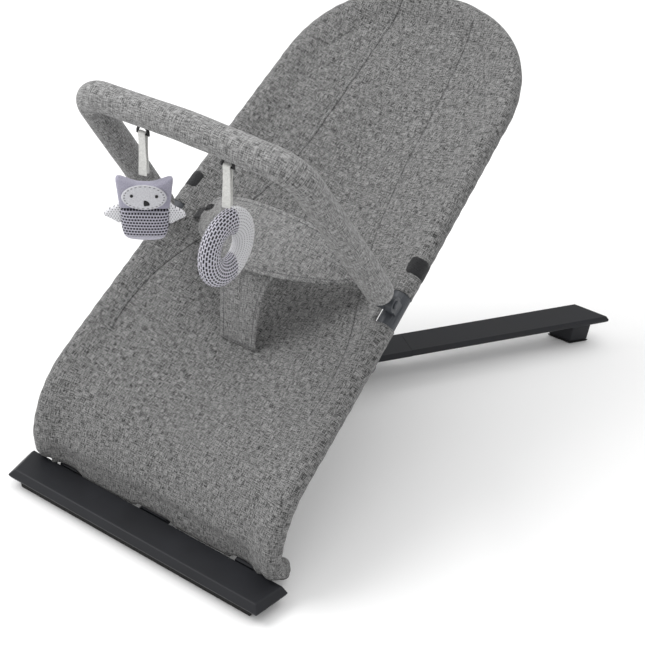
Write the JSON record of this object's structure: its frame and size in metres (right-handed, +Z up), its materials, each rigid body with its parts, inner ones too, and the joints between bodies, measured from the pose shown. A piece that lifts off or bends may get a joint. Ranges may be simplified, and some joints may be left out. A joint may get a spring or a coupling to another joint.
{
  "type": "bouncer seat",
  "caption": "Baby bouncer seat: fabric sling on a bent steel frame over a low Y-shaped base, with folding stay, waist harness and a padded toy bar with hanging toys.",
  "frame": {"origin": "on the floor, at the middle of the object's overall width and length", "axes": "+Z up; +Y from the foot bar towards the head end; X across the seat"},
  "size_m": [0.6132, 0.862, 0.592],
  "materials": {
    "charcoal_plastic": "satin",
    "clip_plastic": "satin",
    "toggle_plastic": "satin",
    "rubber": "matte",
    "steel": "powder coated",
    "webbing": "woven",
    "tweed_fabric": "heathered weave",
    "ribbon": "woven",
    "lavender_fabric": "mesh",
    "pale_fabric": "woven"
  },
  "bodies": {
    "base": {"front_foot_bar": "charcoal_plastic", "front_foot_pad": "rubber", "center_spine": "charcoal_plastic", "hub_plate": "charcoal_plastic", "recline_rack": "clip_plastic", "rear_leg_left": "charcoal_plastic", "rear_leg_right": "charcoal_plastic", "rear_foot_block_left": "charcoal_plastic", "rear_foot_block_right": "charcoal_plastic", "rear_foot_pad_left": "rubber", "rear_foot_pad_right": "rubber", "hinge_saddle_left": "charcoal_plastic", "hinge_saddle_right": "charcoal_plastic", "leg_splice_left": "charcoal_plastic", "leg_splice_right": "charcoal_plastic", "leg_bolt_left": "steel", "leg_bolt_right": "steel"},
    "seat_frame": {"lower_tube_left": "steel", "lower_tube_right": "steel", "toy_bar_clip_left": "clip_plastic", "toy_bar_clip_right": "clip_plastic", "toy_bar_pin_left": "clip_plastic", "toy_bar_pin_right": "clip_plastic", "stay_bracket_left": "clip_plastic", "stay_bracket_right": "clip_plastic", "stay_pin_left": "steel", "stay_pin_right": "steel", "frame_strap_left": "webbing", "frame_strap_right": "webbing", "hem_rod": "steel", "seat_sling": "tweed_fabric", "waist_band": "tweed_fabric", "crotch_piece": "tweed_fabric", "harness_toggle_left": "toggle_plastic", "harness_toggle_right": "toggle_plastic", "harness_strap_left": "webbing", "harness_strap_right": "webbing"},
    "backrest": {"upper_tube": "steel", "back_sling": "tweed_fabric"},
    "stay": {"stay_tube": "steel", "stay_foot_sleeve": "rubber", "stay_lug_left": "clip_plastic", "stay_lug_right": "clip_plastic"},
    "toy_bar": {"toy_bar_tube": "steel", "toy_bar_cover": "tweed_fabric", "toy_bar_end_left": "clip_plastic", "toy_bar_end_right": "clip_plastic", "owl_hook": "toggle_plastic", "ring_hook": "toggle_plastic"},
    "owl_toy": {"owl_ribbon": "ribbon", "owl_head": "lavender_fabric", "owl_body": "lavender_fabric", "owl_face": "pale_fabric", "owl_eye_left": "toggle_plastic", "owl_eye_right": "toggle_plastic", "owl_wing_left": "pale_fabric", "owl_wing_right": "pale_fabric", "owl_beak": "toggle_plastic"},
    "ring_toy": {"ring_ribbon": "ribbon", "ring_plush": "lavender_fabric"}
  },
  "joints": [
    {"name": "recline", "type": "hinge", "parent": "base", "child": "seat_frame", "pos_m": [0, -0.345, 0.021], "axis": [-1, 0, 0], "range_deg": [0, 28]},
    {"name": "stay_swing", "type": "hinge", "parent": "seat_frame", "child": "stay", "pos_m": [0, -0.16177, 0.23875], "axis": [1, 0, 0], "range_deg": [0, 56]},
    {"name": "bounce", "type": "hinge", "parent": "seat_frame", "child": "backrest", "pos_m": [0, -0.02215, 0.34578], "axis": [1, 0, 0], "range_deg": [-3, 3], "stiffness_Nm_per_rad": 150, "springref_deg": 0.38},
    {"name": "toy_bar_swing", "type": "hinge", "parent": "seat_frame", "child": "toy_bar", "pos_m": [0, -0.12037, 0.31698], "axis": [1, 0, 0], "range_deg": [-30, 45]},
    {"name": "owl_swing", "type": "hinge", "parent": "toy_bar", "child": "owl_toy", "pos_m": [-0.065, -0.30302, 0.54624], "axis": [1, 0, 0], "range_deg": [-35, 35]},
    {"name": "ring_swing", "type": "hinge", "parent": "toy_bar", "child": "ring_toy", "pos_m": [0.061, -0.30236, 0.54531], "axis": [1, 0, 0], "range_deg": [-35, 35]}
  ],
  "couplings": [
    {"joint": "stay_swing", "follows": "recline", "ratio": 2}
  ]
}
